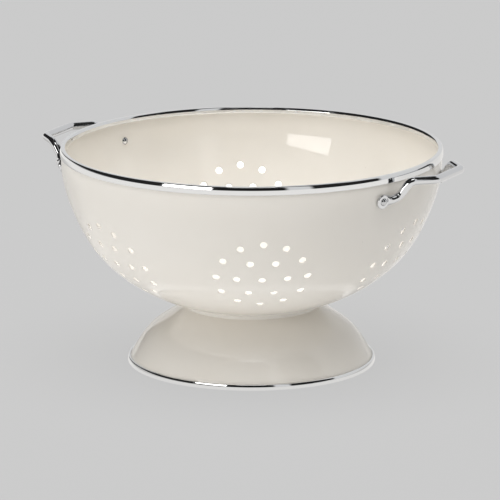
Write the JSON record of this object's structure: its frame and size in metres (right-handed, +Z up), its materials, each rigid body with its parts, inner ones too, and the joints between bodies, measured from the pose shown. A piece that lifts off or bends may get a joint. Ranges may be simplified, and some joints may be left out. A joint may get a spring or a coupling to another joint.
{
  "type": "enamel colander",
  "caption": "Footed round colander: pierced enamel bowl on a domed foot ring, bright rolled trims at rim and foot, riveted wire loop handles.",
  "frame": {"origin": "on the table, under the middle of the bowl, in the plane that the foot's trim stands on", "axes": "+Z up; X through the middle of the left handle, and 2 degrees off the middle of the right one; Y square to it"},
  "size_m": [0.2806, 0.24, 0.1383],
  "materials": {
    "enamel": "gloss vitreous enamel",
    "trim": "mirror polished",
    "wire": "bright plated",
    "rivet": "polished"
  },
  "bodies": {
    "root": {"bowl": "enamel", "foot": "enamel", "rim_band": "trim", "foot_band": "trim", "handle_right": "wire", "handle_left": "wire", "rivets": "rivet"}
  },
  "joints": []
}
